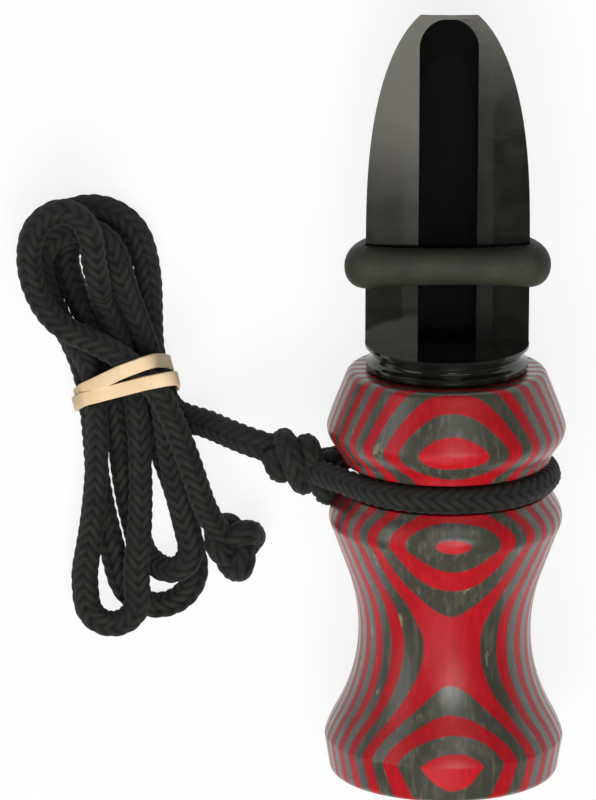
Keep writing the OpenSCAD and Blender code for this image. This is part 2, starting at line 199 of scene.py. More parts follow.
def blend_colours(add, join, factor, first, second, kind="MIX"):
    """One Mix node of two colours by a factor."""
    made = add("ShaderNodeMix", data_type="RGBA", blend_type=kind)
    for socket, value in ((made.inputs[0], factor), (made.inputs[6], first), (made.inputs[7], second)):
        if isinstance(value, (int, float, tuple)):
            socket.default_value = value
        else:
            join(value, socket)
    return made.outputs[2]


# Plies are thin flat sheets, so the lathe cuts them into nested ovals. Red and charcoal change
# places by the sign of a sine across the sheets, after a slow waver of the glue lines.
ply_thick = 0.97
ply_start = 10.43
lacquered, shader, add, join = new_material("lacquered plies")
place = add("ShaderNodeTexCoord")
sheets = add("ShaderNodeMapping", vector_type="TEXTURE")
sheets.inputs["Location"].default_value = (0, -17 * mm, axis_up)
sheets.inputs["Rotation"].default_value = (math.radians(-0.3), math.radians(3), 0)
sheets.inputs["Scale"].default_value = (mm, mm, mm)
join(place.outputs["Object"], sheets.inputs[0])
height = add("ShaderNodeSeparateXYZ")
join(sheets.outputs[0], height.inputs[0])
waver = add("ShaderNodeTexNoise", in_2=0.11, in_3=2.0)
join(sheets.outputs[0], waver.inputs["Vector"])
swing = sum_up(add, join, "MULTIPLY", sum_up(add, join, "SUBTRACT", waver.outputs[0], 0.5), 0.55)
lifted = sum_up(add, join, "ADD", height.outputs["Z"], swing)
count = sum_up(add, join, "DIVIDE", sum_up(add, join, "SUBTRACT", lifted, ply_start), ply_thick)
wave = sum_up(add, join, "SINE", sum_up(add, join, "MULTIPLY", count, math.pi), 0)
grey_ply = sum_up(add, join, "ADD", sum_up(add, join, "MULTIPLY", wave, 6.0), 0.5, clamp=True)
own_tone = add("ShaderNodeTexWhiteNoise", noise_dimensions="1D")
join(sum_up(add, join, "FLOOR", count, 0), own_tone.inputs["W"])
fibres = add("ShaderNodeMapping")
fibres.inputs["Scale"].default_value = (1.5, 0.16, 1.5)
join(sheets.outputs[0], fibres.inputs[0])
grain = add("ShaderNodeTexNoise", in_2=1.0, in_3=5.0, in_4=0.62)
join(fibres.outputs[0], grain.inputs["Vector"])
streak = add("ShaderNodeMapRange", in_1=0.48, in_2=0.8)
join(grain.outputs[0], streak.inputs[0])
pores = add("ShaderNodeMapping")
pores.inputs["Scale"].default_value = (7.0, 0.35, 7.0)
join(sheets.outputs[0], pores.inputs[0])
pore = add("ShaderNodeTexNoise", in_2=1.0, in_3=2.0, in_4=0.5)
join(pores.outputs[0], pore.inputs["Vector"])
pore_mark = add("ShaderNodeMapRange", in_1=0.60, in_2=0.70)
join(pore.outputs[0], pore_mark.inputs[0])
charcoal = blend_colours(add, join, streak.outputs[0], srgb(60, 59, 50), srgb(104, 99, 84))
red = blend_colours(add, join, streak.outputs[0], srgb(182, 18, 29), srgb(208, 32, 41))
red_pore = sum_up(add, join, "MULTIPLY", pore_mark.outputs[0], 0.3)
red = blend_colours(add, join, red_pore, red, srgb(128, 8, 22))
grey_pore = sum_up(add, join, "MULTIPLY", pore_mark.outputs[0], 0.35)
charcoal = blend_colours(add, join, grey_pore, charcoal, srgb(40, 41, 36))
# Sparse pale flecks on the charcoal plies are painted glints, standing in for the wood's sparkle under the
# lacquer.
glint_places = add("ShaderNodeMapping")
glint_places.inputs["Scale"].default_value = (0.5, 0.2, 0.5)
join(sheets.outputs[0], glint_places.inputs[0])
glint_noise = add("ShaderNodeTexNoise", in_2=1.0, in_3=3.0, in_4=0.6)
join(glint_places.outputs[0], glint_noise.inputs["Vector"])
painted_glint = add("ShaderNodeMapRange", in_1=0.67, in_2=0.74, in_4=0.8)
join(glint_noise.outputs[0], painted_glint.inputs[0])
charcoal = blend_colours(add, join, painted_glint.outputs[0], charcoal, srgb(160, 148, 108))
plies = blend_colours(add, join, grey_ply, red, charcoal)
tone = add("ShaderNodeMapRange", in_3=0.86, in_4=1.1)
join(own_tone.outputs["Value"], tone.inputs[0])
toned = add("ShaderNodeHueSaturation")
join(tone.outputs[0], toned.inputs["Value"])
join(plies, toned.inputs["Color"])
join(toned.outputs[0], shader.inputs["Base Color"])
lacquer = add("ShaderNodeMapRange", in_3=0.12, in_4=1.0)
join(grey_ply, lacquer.inputs[0])
join(lacquer.outputs[0], shader.inputs["Coat Weight"])
shader.inputs["Roughness"].default_value = 0.34
shader.inputs["Specular IOR Level"].default_value = 0.35
shader.inputs["Coat Roughness"].default_value = 0.3
shader.inputs["Coat IOR"].default_value = 1.6
rise = add("ShaderNodeBump", in_0=0.12, in_1=0.05 * mm)
join(grain.outputs[0], rise.inputs["Height"])
join(rise.outputs[0], shader.inputs["Normal"])
barrel.data.materials.append(lacquered)
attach(barrel, "barrel")
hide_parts("barrel")

# ---- Sealing rings
# Two moulded rubber rings in grooves of the shank, which hold the toneboard in the barrel's socket.
# The solids of the frame are the right shape, so they only get black rubber with a dull bloom.


def make_mottle():
    """Cloudy tone and fine specks, used by rubber, plastic and cord alike."""
    group = bpy.data.node_groups.new("cloud and speck", "ShaderNodeTree")
    for title, usual in (("Cloud Scale", 300), ("Speck Scale", 4000)):
        socket = group.interface.new_socket(title, in_out="INPUT", socket_type="NodeSocketFloat")
        socket.default_value = usual
    for title in ("Cloud", "Speck"):
        group.interface.new_socket(title, in_out="OUTPUT", socket_type="NodeSocketFloat")
    take, give = group.nodes.new("NodeGroupInput"), group.nodes.new("NodeGroupOutput")
    spot = group.nodes.new("ShaderNodeTexCoord")
    for order, (scale, detail) in enumerate((("Cloud Scale", 4.0), ("Speck Scale", 1.0))):
        noise = group.nodes.new("ShaderNodeTexNoise")
        noise.inputs["Detail"].default_value = detail
        group.links.new(spot.outputs["Object"], noise.inputs["Vector"])
        group.links.new(take.outputs[scale], noise.inputs["Scale"])
        level = group.nodes.new("ShaderNodeMapRange")
        level.inputs[1].default_value, level.inputs[2].default_value = 0.3, 0.7
        group.links.new(noise.outputs[0], level.inputs[0])
        group.links.new(level.outputs[0], give.inputs[order])
    return group


mottle = make_mottle()


def rubber(name, dark, light, rough, cloud, speck, depth):
    """Moulded rubber: two close tones in clouds, and a fine dull grain."""
    material, shader, add, join = new_material(name)
    clouds = add("ShaderNodeGroup", node_tree=mottle)
    clouds.inputs["Cloud Scale"].default_value = cloud
    clouds.inputs["Speck Scale"].default_value = speck
    join(blend_colours(add, join, clouds.outputs["Cloud"], dark, light), shader.inputs["Base Color"])
    dull = add("ShaderNodeMapRange", in_3=rough - 0.08, in_4=rough + 0.1)
    join(clouds.outputs["Speck"], dull.inputs[0])
    join(dull.outputs[0], shader.inputs["Roughness"])
    rise = add("ShaderNodeBump", in_0=0.35, in_1=depth)
    join(clouds.outputs["Speck"], rise.inputs["Height"])
    join(rise.outputs[0], shader.inputs["Normal"])
    return material


seal_rubber = rubber("seal rubber", srgb(20, 20, 20), srgb(34, 34, 33), 0.5, 700, 6000, 0.02 * mm)
for node in ("shank_seal_upper", "shank_seal_lower"):
    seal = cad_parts[node]
    seal.data.materials.clear()
    seal.data.materials.append(seal_rubber)

# ---- Toneboard
# A black plastic rod turned with a shank, a coved collar and a blunt nose, then milled: a long flat
# that falls away to the tip, and a round-ended tone channel with an air passage to the shank.
rod_r = 9.5
tip_at = 89.8
ledge_at = 51.68
nose_at = 63.3
blunt = 2.6
ledge = ledge_at - half_call


def nose(r, reach, length, steps):
    """The blunt turned nose of a rod of that radius, which would come to its point at that reach."""
    ds = [length * math.sin(math.radians(90 * i / steps)) for i in range(steps + 1)]
    return [(r * math.sqrt(1 - (d / reach) ** blunt), nose_at + d) for d in ds]


nose_reach, nose_long = 28.6, 26.9
seal_grooves = [(6.35, 37.34), (4.74, 37.34), (4.74, 39.02), (6.35, 39.02),
                (6.35, 43.34), (4.74, 43.34), (4.74, 45.02), (6.35, 45.02)]
rod_outline = (
    [(0.0, 48.68), (3.2, 48.68), (3.2, 32.9), (3.45, 32.68), (6.1, 32.68), (6.35, 32.95)]
    + seal_grooves
    + [(6.35, 48.68), (9.15, 48.68), (9.4, 48.93), (9.4, 49.58)]
    + sweep((9.25, 49.67), (8.1, 50.33), (9.5, 51.32), 12)
    + nose(rod_r, nose_reach, nose_long, 40)
    + [(0.0, nose_at + nose_long)]
)
toneboard = turn_on_lathe("milled_toneboard", rod_outline, 160, False)


def cut_away(piece, tool, operation="DIFFERENCE"):
    """Cuts one solid with another, which is then thrown away."""
    apply_modifier(piece, "BOOLEAN", object=tool, operation=operation, solver="EXACT")
    bpy.data.objects.remove(tool)


# The tip is sawn off a little under square, so that its edge is straight when seen from above.
saw_height = 11.8
saw_way = (0, 0.964, -0.266)
bpy.ops.object.select_all(action="DESELECT")
toneboard.select_set(True)
bpy.context.view_layer.objects.active = toneboard
bpy.ops.object.mode_set(mode="EDIT")
bpy.ops.mesh.select_all(action="SELECT")
bpy.ops.mesh.bisect(plane_co=(0, tip_at * mm - call_middle, saw_height * mm), plane_no=saw_way,
                    use_fill=True, clear_outer=True)
bpy.ops.object.mode_set(mode="OBJECT")

face_level = 12.95
falls_from, bends_from = 15.53, 21.53
fall_slope = math.tan(math.radians(1.2))
bend_r = 480
dish_slope, dish_middle = 0.042, 5.5


def face_height(x, y):
    """Height of the milled face in millimetres: level under the band, then falling, slightly dished."""
    fall = fall_slope * max(0.0, y - falls_from)
    bend = max(0.0, y - bends_from)
    dish = dish_slope * (abs(x) - dish_middle)
    return face_level - fall - bend * bend / (2 * bend_r) + dish


mill_half, mill_long, mill_deep = 12, 42, 14
bpy.ops.object.select_all(action="DESELECT")
bpy.ops.mesh.primitive_grid_add(x_subdivisions=2, y_subdivisions=30, size=2)
mill = bpy.context.object
for v in mill.data.vertices:
    x, y = v.co.x * mill_half, ledge + (v.co.y + 1) / 2 * mill_long
    v.co = (x * mm, y * mm, face_height(x, y) * mm)
apply_modifier(mill, "SOLIDIFY", thickness=mill_deep * mm, offset=1)
cut_away(toneboard, mill)

# The channel is a round-ended slot that goes as deep as a smaller nose inside the rod's.
channel_r, channel_reach, channel_long = 8.2, 27.6, 25.95
slot_r, slot_end, slot_height = 3.4, 40.8, 15.15
channel_outline = ([(0.0, ledge_at), (channel_r, ledge_at)]
                   + nose(channel_r, channel_reach, channel_long, 24) + [(0.0, tip_at - 0.55)])
channel = turn_on_lathe("channel_tool", channel_outline, 96, False)
bpy.ops.object.select_all(action="DESELECT")
bpy.ops.mesh.primitive_cylinder_add(vertices=128, radius=slot_r * mm, depth=mill_deep * mm,
                                    location=(0, slot_end * mm, slot_height * mm))
slot_tool = bpy.context.object
bpy.ops.object.transform_apply(location=True)
for v in slot_tool.data.vertices:
    if v.co.y < (slot_end - 0.01) * mm:
        v.co.y = ledge * mm
cut_away(slot_tool, channel, "INTERSECT")
cut_away(toneboard, slot_tool)
airway_r, airway_at, airway_height, airway_long = 1.9, 5, 10.95, 5
bpy.ops.object.select_all(action="DESELECT")
bpy.ops.mesh.primitive_cylinder_add(vertices=64, radius=airway_r * mm, depth=airway_long * mm,
                                    location=(0, airway_at * mm, airway_height * mm),
                                    rotation=(math.pi / 2, 0, 0))
airway_tool = bpy.context.object
bpy.ops.object.transform_apply(location=True, rotation=True)
cut_away(toneboard, airway_tool)
bpy.ops.object.select_all(action="DESELECT")
toneboard.select_set(True)
bpy.context.view_layer.objects.active = toneboard
bpy.ops.object.mode_set(mode="EDIT")
bpy.ops.mesh.select_all(action="SELECT")
bpy.ops.mesh.remove_doubles(threshold=4e-6)
bpy.ops.mesh.dissolve_degenerate(threshold=4e-6)
bpy.ops.object.mode_set(mode="OBJECT")
soften(toneboard, 0.12 * mm, 38, 2, 15)

black_plastic, shader, add, join = new_material("black plastic")
clouds = add("ShaderNodeGroup", node_tree=mottle)
clouds.inputs["Cloud Scale"].default_value = 420
clouds.inputs["Speck Scale"].default_value = 9000
place = add("ShaderNodeTexCoord")
lines = add("ShaderNodeMapping")
lines.inputs["Scale"].default_value = (90, 5200, 90)
join(place.outputs["Object"], lines.inputs[0])
cutter_marks = add("ShaderNodeTexNoise", in_2=1.0, in_3=2.0)
join(lines.outputs[0], cutter_marks.inputs["Vector"])
tones = blend_colours(add, join, clouds.outputs["Cloud"], srgb(19, 19, 18), srgb(30, 30, 28))
join(tones, shader.inputs["Base Color"])
satin = add("ShaderNodeMapRange", in_3=0.11, in_4=0.14)
join(clouds.outputs["Cloud"], satin.inputs[0])
join(satin.outputs[0], shader.inputs["Roughness"])
specks = sum_up(add, join, "MULTIPLY", clouds.outputs["Speck"], 0.5)
marks = sum_up(add, join, "ADD", cutter_marks.outputs[0], specks)
rise = add("ShaderNodeBump", in_0=0.05, in_1=0.03 * mm)
join(marks, rise.inputs["Height"])
join(rise.outputs[0], shader.inputs["Normal"])
shader.inputs["Specular Tint"].default_value = (1, 0.97, 0.86, 1)
toneboard.data.materials.append(black_plastic)

# The walls and floor of the channel, and the airway that opens into it, get a duller and much darker black
# than the rest of the rod: painted shade for the deep recess, which is the same plastic.
painted_channel_shade, shader, add, join = new_material("channel painted shade")
clouds = add("ShaderNodeGroup", node_tree=mottle)
tones = blend_colours(add, join, clouds.outputs["Cloud"], srgb(4, 4, 4), srgb(8, 8, 7))
join(tones, shader.inputs["Base Color"])
shader.inputs["Roughness"].default_value = 0.6
shader.inputs["Specular IOR Level"].default_value = 0.04
toneboard.data.materials.append(painted_channel_shade)
# Faces sunk inside the channel and the airway take this painted shade.
airway_start = 2.4
for face in toneboard.data.polygons:
    x, y, z = face.center / mm
    sawn = saw_way[1] * (y + half_call - tip_at) + saw_way[2] * (z - saw_height) > -0.12
    past = min(1.0, max(0.0, y + half_call - nose_at) / channel_reach)
    deep = math.hypot(x, z - axis_height) < channel_r * math.sqrt(1 - past ** blunt) + 0.15
    wide = slot_r + 0.03 if y > ledge - 0.03 else airway_r + 0.05
    sunk = z < face_height(x, y) - 0.1
    if deep and sunk and not sawn and abs(x) < wide and y > airway_start:
        face.material_index = 1
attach(toneboard, "insert")
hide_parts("toneboard")

# ---- Reed
# A strip cut from clear polyester film with a round tip, which lies on the flat over the channel.
# The solid of the frame is the right shape, so it only gets the film: clear, with faint streaks.
clear_film, shader, add, join = new_material("clear film")
place = add("ShaderNodeTexCoord")
drawn = add("ShaderNodeMapping")
drawn.inputs["Scale"].default_value = (1500, 60, 1500)
join(place.outputs["Object"], drawn.inputs[0])
drag = add("ShaderNodeTexNoise", in_2=1.0, in_3=2.0)
join(drawn.outputs[0], drag.inputs["Vector"])
tones = blend_colours(add, join, drag.outputs[0], srgb(232, 238, 236), srgb(246, 250, 248))
join(tones, shader.inputs["Base Color"])
haze = add("ShaderNodeMapRange", in_3=0.02, in_4=0.07)
join(drag.outputs[0], haze.inputs[0])
join(haze.outputs[0], shader.inputs["Roughness"])
shader.inputs["Transmission Weight"].default_value = 1.0
shader.inputs["IOR"].default_value = 1.46
shader.inputs["Alpha"].default_value = 0.025
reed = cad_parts["reed"]
reed.data.materials.clear()
reed.data.materials.append(clear_film)

# ---- Reed band
# A moulded rubber ring of half-round section, stretched round the rod to clamp the reed: straight
# over the film, round the belly, and a little askew.
band_at = 15.53
band_flat = 13.69
inner_r = 9.56
band_thick = 2.4
band_half, belly_gain = 2.15, 0.4
askew = 0.012
bpy.ops.object.select_all(action="DESELECT")
bpy.ops.mesh.primitive_torus_add(major_segments=176, minor_segments=28, major_radius=1, minor_radius=0.25)
reed_band = bpy.context.object
reed_band.name = reed_band.data.name = "rubber_reed_band"
corner_round = 0.35
corner_up = band_flat - axis_height - corner_round
corner_out = math.sqrt((inner_r - corner_round) ** 2 - corner_up ** 2)


def band_station(share):
    """Place on the ring's inner line, and its outward direction, at a share of the way round."""
    stations = []
    tilt = math.atan2(corner_up, corner_out)
    for i in range(9):
        a = math.pi / 2 + (tilt - math.pi / 2) * i / 8
        stations.append((corner_out + corner_round * math.cos(a), corner_up + corner_round * math.sin(a), a))
    for i in range(1, 60):
        a = tilt - (math.pi + 2 * tilt) * i / 60
        stations.append((inner_r * math.cos(a), inner_r * math.sin(a), a))
    for i in range(9):
        a = -math.pi - tilt + (tilt - math.pi / 2) * i / 8
        stations.append((-corner_out + corner_round * math.cos(a), corner_up + corner_round * math.sin(a), a))
    stations.append((stations[0][0], stations[0][1], stations[0][2] - math.tau))
    steps = [0.0]
    for p, q in zip(stations, stations[1:]):
        steps.append(steps[-1] + math.dist(p[:2], q[:2]) + 0.9 * abs(p[2] - q[2]))
    spots = np.array(stations)
    return [np.interp(share * steps[-1], steps, spots[:, k]) for k in range(3)]


for v in reed_band.data.vertices:
    share = (math.atan2(v.co.y, v.co.x) / math.tau) % 1
    around = math.atan2(v.co.z, math.hypot(v.co.x, v.co.y) - 1)
    x, z, facing = band_station(1 - share if share else 0.0)
    swell = band_half + belly_gain * min(1, abs(x) / inner_r) ** 3
    bulge = band_thick * max(0.0, math.cos(around)) ** 0.9
    if abs(around) > math.pi / 2:
        along = swell * 0.97 * (1 - 2 * (abs(around) - math.pi / 2) / math.pi) * math.copysign(1, around)
    else:
        along = swell * math.copysign(abs(math.sin(around)) ** 0.97, around)
    x, z = x + bulge * math.cos(facing), z + bulge * math.sin(facing)
    v.co = (x * mm, (band_at + along + askew * x) * mm, z * mm + axis_up)
bpy.ops.object.mode_set(mode="EDIT")
bpy.ops.mesh.select_all(action="SELECT")
bpy.ops.mesh.remove_doubles(threshold=1e-6)
bpy.ops.mesh.normals_make_consistent(inside=False)
bpy.ops.object.mode_set(mode="OBJECT")
bpy.ops.object.shade_smooth_by_angle(angle=math.radians(50))
band_rubber = rubber("reed band rubber", srgb(40, 41, 34), srgb(58, 59, 48), 0.6, 260, 3600, 0.03 * mm)
reed_band.data.materials.append(band_rubber)
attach(reed_band, "reed_band")
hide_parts("reed_band")

# ---- Noose of the lanyard
# Hollow-braid black cord, about 3.1 mm thick, drawn tight in the barrel's groove. The braid shows as
# columns of slanted yarns that meet in a V. Both ends of the noose go into the slip knot.
braid_pitch = 1.35
braid_columns = 6
braid_depth = 0.28
yarn_slant = 1.25
rings_a_pitch = 6
cord_half = 1.55
knot_middle = np.array((-16.9, -8.6, 12.1))


def even_line(points, step):
    """The same line as close points at even steps, in millimetres."""
    points = np.asarray(points, float)
    run = np.concatenate(([0], np.cumsum(np.linalg.norm(np.diff(points, axis=0), axis=1))))
    stops = np.linspace(0, run[-1], max(2, round(run[-1] / step)) + 1)
    return np.stack([np.interp(stops, run, points[:, k]) for k in range(points.shape[1])], axis=1)


def calm(values, spread):
    """Rounds off a line by a running mean of that many points to each side, with its ends kept."""
    padded = np.concatenate((np.repeat(values[:1], spread, 0), values, np.repeat(values[-1:], spread, 0)))
    weights = np.hanning(2 * spread + 3)[1:-1]
    weights /= weights.sum()
    done = np.stack([np.convolve(padded[:, k], weights, "valid") for k in range(values.shape[1])], axis=1)
    done[0], done[-1] = values[0], values[-1]
    return done


def braided(name, line, halves, lie=None, sides=40, closed=False, twist=0.004):
    """A tube of braided cord along a line in millimetres. halves gives its half width and half
    thickness at each point. lie is the direction its thickness keeps to, if it keeps to one."""
    joined = np.concatenate((np.asarray(line, float), np.asarray(halves, float)), axis=1)
    rows = even_line(joined, braid_pitch / rings_a_pitch)
    spots, half = rows[:, :3], rows[:, 3:]
    count = len(spots)
    ways = np.gradient(spots, axis=0)
    if closed:
        ways[0] = ways[-1] = spots[1] - spots[-2]
    ways /= np.linalg.norm(ways, axis=1)[:, None]
    if lie is None:
        flank = np.zeros_like(ways)
        start = np.cross((0.3, 0.2, 1), ways[0])
        for i, way in enumerate(ways):
            start = start - way * start.dot(way)
            start /= np.linalg.norm(start)
            flank[i] = start
    else:
        flank = np.cross(np.asarray(lie, float), ways)
        flank /= np.linalg.norm(flank, axis=1)[:, None]
    rise = np.cross(ways, flank)
    turn = np.arange(sides) / sides
    column = (turn[None, :] + 0 * spots[:, :1]) * braid_columns + 0.5
    order, share = np.floor(column), column % 1
    slant = np.where(order % 2 == 0, share, 1 - share)
    phase = np.arange(count)[:, None] / rings_a_pitch + yarn_slant * slant
    yarn = np.abs(np.sin(np.pi * phase)) ** 0.8
    crown = np.sqrt(np.clip(1 - (2 * share - 1) ** 2, 0, 1))
    weave = yarn * (0.45 + 0.4 * crown) + 0.15 * crown
    angle = math.tau * turn[None, :] + twist * np.arange(count)[:, None] * braid_pitch / rings_a_pitch
    sink = braid_depth * (1 - weave)
    wide = half[:, :1] - sink
    thick = half[:, 1:] - sink
    skin = (spots[:, None, :] + flank[:, None, :] * (wide * np.cos(angle))[..., None]
            + rise[:, None, :] * (thick * np.sin(angle))[..., None])
    i, k = np.meshgrid(np.arange(count - 1), np.arange(sides), indexing="ij")
    a, b = i * sides + k, i * sides + (k + 1) % sides
    faces = np.stack((a, b, b + sides, a + sides), axis=-1).reshape(-1, 4)
    caps = [list(range(sides - 1, -1, -1)), list(range((count - 1) * sides, count * sides))]
    mesh = bpy.data.meshes.new(name)
    mesh.from_pydata((skin.reshape(-1, 3) * mm).tolist(), [], faces.tolist() + ([] if closed else caps))
    mesh.polygons.foreach_set("use_smooth", [True] * len(mesh.polygons))
    mesh.attributes.new("weave", "FLOAT", "POINT").data.foreach_set("value", weave.ravel())
    piece = bpy.data.objects.new(name, mesh)
    bpy.context.collection.objects.link(piece)
    return piece, spots


lead_turn = math.radians(44.2)
knot_turn = math.radians(174)
noose_r = 11.9
arc = np.linspace(knot_turn + lead_turn, knot_turn - lead_turn + math.tau, 150)
round_groove = [(noose_r * math.cos(a), groove_at - half_call, axis_height - noose_r * math.sin(a))
                for a in arc]
goes_in, comes_out = knot_middle + (0.6, -0.3, 0.8), knot_middle + (0.6, -0.3, -0.8)
noose_line = calm(even_line([goes_in] + round_groove + [comes_out], 0.5), 5)
noose, _ = braided("lanyard_noose", noose_line, [(cord_half, cord_half)] * len(noose_line), lie=(0, 1, 0))

black_braid, shader, add, join = new_material("black braid")
yarns = add("ShaderNodeAttribute", attribute_name="weave")
clouds = add("ShaderNodeGroup", node_tree=mottle)
clouds.inputs["Cloud Scale"].default_value = 500
clouds.inputs["Speck Scale"].default_value = 7000
# Where the weave sinks between the yarns, the colour goes near black: painted shade in the braid's creases.
deep = add("ShaderNodeMapRange", in_1=0.2, in_2=0.85)
join(yarns.outputs["Fac"], deep.inputs[0])
strand = blend_colours(add, join, clouds.outputs["Cloud"], srgb(28, 30, 27), srgb(42, 44, 39))
join(blend_colours(add, join, deep.outputs[0], srgb(4, 5, 4), strand), shader.inputs["Base Color"])
shader.inputs["Roughness"].default_value = 0.78
shader.inputs["Sheen Weight"].default_value = 0.06
rise = add("ShaderNodeBump", in_0=0.4, in_1=0.05 * mm)
join(clouds.outputs["Speck"], rise.inputs["Height"])
join(rise.outputs[0], shader.inputs["Normal"])
noose.data.materials.append(black_braid)
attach(noose, "lanyard")
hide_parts("lanyard_loop")

# ---- Slip knot
# Where the noose closes, the end of the cord is wound twice round the standing part and drawn tight,
# so that two turns lie beside each other and the ends disappear between them.
knot_side = np.array((-0.2, 0.98, 0))
knot_step = np.array((2.7, -0.95, 0.1))
drawn_half = 1.45
slip_line = []
for a in np.linspace(-2.45 * math.pi, 3.05 * math.pi, 220):
    along = a / math.tau
    tuck = max(0.0, (-a / math.pi - 1.9) / 0.55, (a / math.pi - 1.7) / 1.35)
    wide, tall = 2.45 + 0.35 * along - 1.6 * tuck ** 2, 2.05 - 1.3 * tuck ** 2
    slip_line.append(knot_middle + along * knot_step - wide * math.cos(a) * knot_side
                     - np.array((0, 0, tall * math.sin(a))))
slip_knot, _ = braided("lanyard_slip_knot", slip_line, [(drawn_half, drawn_half)] * len(slip_line))
slip_knot.data.materials.append(black_braid)
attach(slip_knot, "lanyard")
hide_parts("slip_knot")

# ---- Lanyard, from the slip knot to the end knot
# The rest of the same cord, in one unbroken piece: a short run down to the table, a hank of two
# layers of folds drawn in at the waist, and a tail that comes back over the hank.
run_points = [(-19.2, -7.4, 11.3), (-22.5, -6.8, 9.8), (-25.3, -6.4, 7.2), (-27.9, -6.1, 4.2),
              (-30.2, -5.9, 2.5), (-32.1, -5.1, 2.2)]
tail_points = [(-40.5, 11.4, 5.8), (-41, 14.2, 6.8), (-41.3, 17, 7.4), (-42.3, 19.3, 7.6),
               (-44.2, 20.4, 7.6), (-46.2, 19.8, 7.5), (-47.9, 18, 7.5), (-48.5, 15.3, 7.4),
               (-48.3, 12.6, 7.4), (-47.4, 10, 7.5), (-45.9, 7.7, 7.7), (-43.8, 6.1, 8), (-41, 4.9, 8.4),
               (-38.1, 3.4, 8.7), (-35.5, 1.2, 8.8), (-33.3, -1.4, 8.8), (-31.8, -4.6, 8.4),
               (-30.4, -8.3, 7.9), (-29.1, -12.4, 7.3), (-28, -16, 6.1), (-26.3, -19.5, 4.4)]
hank_at = (-38, -0.5)
hank_turn = 12
half_loops = 6.125

# For each strand in turn: its column in the hank and at the waist, the way its fold leans in
# degrees, and how much shorter than the longest it is.
strand_columns = (2, -2, 1, -1, 1, -2, 0)
tied_columns = (1.5, -1.5, 0.5, -0.5, 1.5, -1.1, 0.5)
fold_turns = (14, 13.4, 14, 14.2, 14, 4.2, 14)
fold_back = (0, 2.6, 0, 5.6, 0, 0, 0)
column_pitch, tied_pitch = 3.05, 2.8
upper_reach, lower_reach = 14.1, 27.1
upper_spread, lower_spread, last_spread = 13, 18, 23.5
strand_up, layer_up, waist_up = 1.3, 2.75, 1.4


def ease(s):
    return s * s * (3 - 2 * s)


def on_hank(x, y, lean_to):
    """Where a spot across and along the hank lies on the table, leaning by so many degrees."""
    a = math.radians(lean_to)
    return (hank_at[0] + x * math.cos(a) - y * math.sin(a),
            hank_at[1] + x * math.sin(a) + y * math.cos(a))


def hank_spot(w):
    """Place on the hank after w half loops, and how far its strands have spread from the waist."""
    last = len(strand_columns) - 1
    c = min(int(w), last)
    u = w - c
    fold = math.pi * min(1, max(0, (u - 0.25) / 0.5))
    climb = ease(min(1, max(0, (math.degrees(fold) - 35) / 80))) if c == 3 else c // 4
    upper = c % 2 == 0
    middle = upper_reach if upper else lower_reach - fold_back[c]
    along = min(1, min(u, 1 - u) / 0.25)
    reach = middle * along
    if c == 5:
        spread = min(1, reach / last_spread)
    else:
        spread = ease(min(1, reach / (upper_spread if upper else lower_spread)))
    late = 0 if u < 0.5 else 1
    a, b = column_pitch * strand_columns[c], column_pitch * strand_columns[min(c + 1, last)]
    if along < 1:
        tied = tied_pitch * tied_columns[min(c + late, last)]
        x, y = tied + ((b if late else a) - tied) * spread, reach
    else:
        x, y = (a + b) / 2 + (a - b) / 2 * math.cos(fold), middle + abs(a - b) / 2 * math.sin(fold)
    flat = on_hank(x, y if upper else -y, hank_turn + (fold_turns[c] - hank_turn) * spread)
    return np.array((*flat, strand_up + climb * layer_up + waist_up * (1 - spread))), spread


lead_in = 3.1
run_half = (1.78, 1.5)
strand_half, strand_gain, strand_thick = 1.36, 0.27, 1.28
hank = [hank_spot(w) for w in np.linspace(0, half_loops, 400)]
start_way = np.array((-math.sin(math.radians(hank_turn)), math.cos(math.radians(hank_turn)), 0))
end_way = hank[-1][0] - hank[-2][0]
end_way /= np.linalg.norm(end_way)
run_line = through(run_points + [hank[0][0] - lead_in * start_way, hank[0][0]])
tail_line = through([hank[-1][0], hank[-1][0] + lead_in * end_way] + tail_points)
cord_rows = [(*p, *run_half) for p in run_line[:-1]]
cord_rows += [(*p, strand_half + strand_gain * s * s, strand_thick) for p, s in hank]
cord_rows += [(*p, cord_half, cord_half) for p in tail_line[1:]]
cord_rows = calm(even_line(np.array(cord_rows), 0.5), 3)
cord_rows[:, 3:] = calm(cord_rows[:, 3:], 8)
lanyard, cord_path = braided("lanyard_cord", cord_rows[:, :3], cord_rows[:, 3:], lie=(0, 0, 1))
lanyard.data.materials.append(black_braid)
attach(lanyard, "lanyard")
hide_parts("lanyard_run", "lanyard_hank", "lanyard_tail")

# ---- End knot
# An overhand knot drawn tight at the free end, so that the cord is not pulled out of a hand. Three
# lobes of the cord cross over each other in a ball.
end_middle = np.array((-24.6, -21.2, 3.3))
end_line = []
for t in np.linspace(0, math.tau, 181):
    end_line.append(end_middle + (0.78 * (math.sin(t) + 2 * math.sin(2 * t)),
                                  0.96 * (math.cos(t) - 2 * math.cos(2 * t)), -1.55 * math.sin(3 * t)))
end_knot, _ = braided("lanyard_end_knot", end_line, [(cord_half, cord_half)] * len(end_line),
                      closed=True, twist=0)
end_knot.data.materials.append(black_braid)
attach(end_knot, "lanyard")
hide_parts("end_knot")

# ---- Rubber band round the hank
# A cut ring of tan latex wound twice round the waist of the hank. The two turns lie beside each
# other on top and cross underneath.
tie_circles = [(-4.2, 2.7, 1.36), (4.3, 2.7, 1.36), (-3.1, 5.45, 1.36), (4.2, 5.45, 1.36)]
upper_top = [(1.8, 8.8, 1.55), (3.4, 8.8, 1.55)]
lower_top = [(3.5, 8.8, 1.55), (4.8, 8.8, 1.55)]
tie_lean, tie_level = 0.36, 7.5


